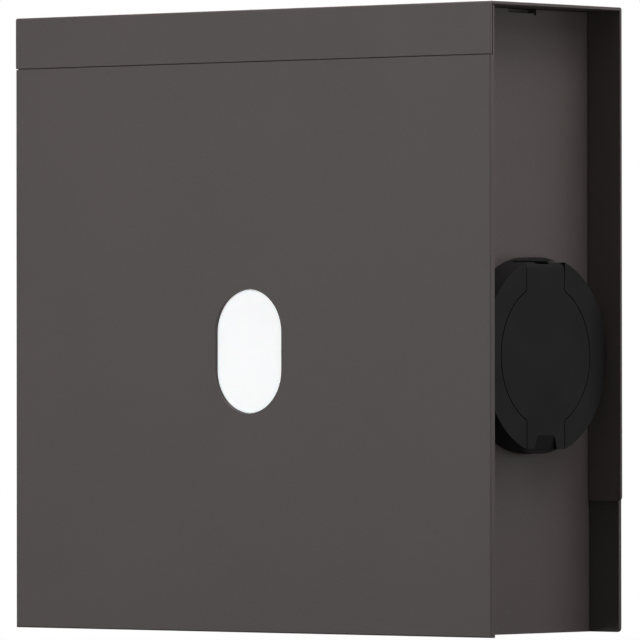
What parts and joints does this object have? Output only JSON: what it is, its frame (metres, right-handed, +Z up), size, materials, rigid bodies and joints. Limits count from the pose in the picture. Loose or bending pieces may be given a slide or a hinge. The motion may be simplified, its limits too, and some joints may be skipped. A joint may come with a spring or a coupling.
{
  "type": "wall-mounted vehicle battery charging unit",
  "caption": "Slim square wall-mounted housing that charges a vehicle's battery, with a lift-off hood and a round hinged cap over the socket-outlet on its side.",
  "frame": {"origin": "centre of the wall plate's back face, where it meets the wall", "axes": "+X towards the side with the outlet, -Y out of the wall towards the user, +Z up"},
  "size_m": [0.3, 0.103, 0.3],
  "materials": {
    "powder_coat": "fine textured powder coat",
    "plate_coat": "fine textured powder coat",
    "black_plastic": "moulded, fine texture",
    "opal": "opal diffuser, satin",
    "led": "moulded package",
    "zinc": "zinc plated",
    "tin": "tinned",
    "rubber": "matt",
    "circuit_board": "solder mask, satin",
    "relay_plastic": "moulded",
    "capacitor_sleeve": "shrunk sleeve",
    "varistor_coat": "dipped coating",
    "sensor_plastic": "moulded",
    "terminal_plastic": "moulded",
    "dial_plastic": "moulded",
    "contact_metal": "silver plated",
    "gland_plastic": "moulded polyamide",
    "wire_brown": "extruded insulation",
    "wire_black": "extruded insulation",
    "wire_grey": "extruded insulation",
    "wire_blue": "extruded insulation",
    "wire_green": "extruded insulation with a yellow stripe"
  },
  "bodies": {
    "housing": {"blanking_plug": "gland_plastic", "board_screws": "zinc", "board_standoffs": "zinc", "capacitors": "capacitor_sleeve", "chassis_screws": "zinc", "chassis_tub": "powder_coat", "contact_carrier_lower": "black_plastic", "contact_carrier_middle": "black_plastic", "contact_carrier_upper": "black_plastic", "contact_sleeves": "contact_metal", "cover_gasket": "rubber", "cover_hooks": "powder_coat", "cover_nuts": "zinc", "cover_screws": "zinc", "dial_base": "black_plastic", "earth_nuts": "zinc", "earth_stud": "zinc", "fixing_plugs": "rubber", "front_cover": "powder_coat", "gland_body": "gland_plastic", "gland_locknut": "gland_plastic", "gland_nut": "gland_plastic", "gland_seal": "rubber", "leakage_sensor": "sensor_plastic", "led_board": "circuit_board", "leds": "led", "lid_hinge_pin": "zinc", "lid_spring": "zinc", "light_frame": "black_plastic", "lock_actuator": "black_plastic", "main_board": "circuit_board", "network_ports": "tin", "outlet_ring": "black_plastic", "outlet_terminal": "terminal_plastic", "power_supply": "black_plastic", "radio_shield": "tin", "relays": "relay_plastic", "socket_base": "black_plastic", "socket_gasket": "rubber", "socket_screws": "zinc", "socket_shell": "black_plastic", "status_window": "opal", "supply_terminal": "terminal_plastic", "terminal_screws": "zinc", "varistors": "varistor_coat", "vent_plug": "black_plastic", "wall_plate": "plate_coat", "wire_l1": "wire_brown", "wire_l2": "wire_black", "wire_l3": "wire_grey", "wire_n": "wire_blue", "wire_pe": "wire_green"},
    "hood_assembly": {"hood": "powder_coat", "hood_tabs": "powder_coat"},
    "lid_assembly": {"outlet_lid": "black_plastic", "lid_seal": "rubber"},
    "lock": {"lock_pin": "zinc"},
    "dial": {"current_dial": "dial_plastic"}
  },
  "joints": [
    {"name": "hood_lift", "type": "slide", "parent": "housing", "child": "hood_assembly", "axis": [0, 0, 1], "range_m": [0, 0.24]},
    {"name": "lid_hinge", "type": "hinge", "parent": "housing", "child": "lid_assembly", "pos_m": [0.1391, -0.053, 0.0232], "axis": [0, -1, 0], "range_deg": [0, 105], "stiffness_Nm_per_rad": 0.02, "springref_deg": -20.05, "deforming": ["lid_spring"]},
    {"name": "lock_slide", "type": "slide", "parent": "housing", "child": "lock", "axis": [0, 0, -1], "range_m": [0, 0.0055]},
    {"name": "dial_turn", "type": "hinge", "parent": "housing", "child": "dial", "pos_m": [0.026, -0.0258, 0.066], "axis": [0, 1, 0], "range_deg": [0, 300]}
  ]
}
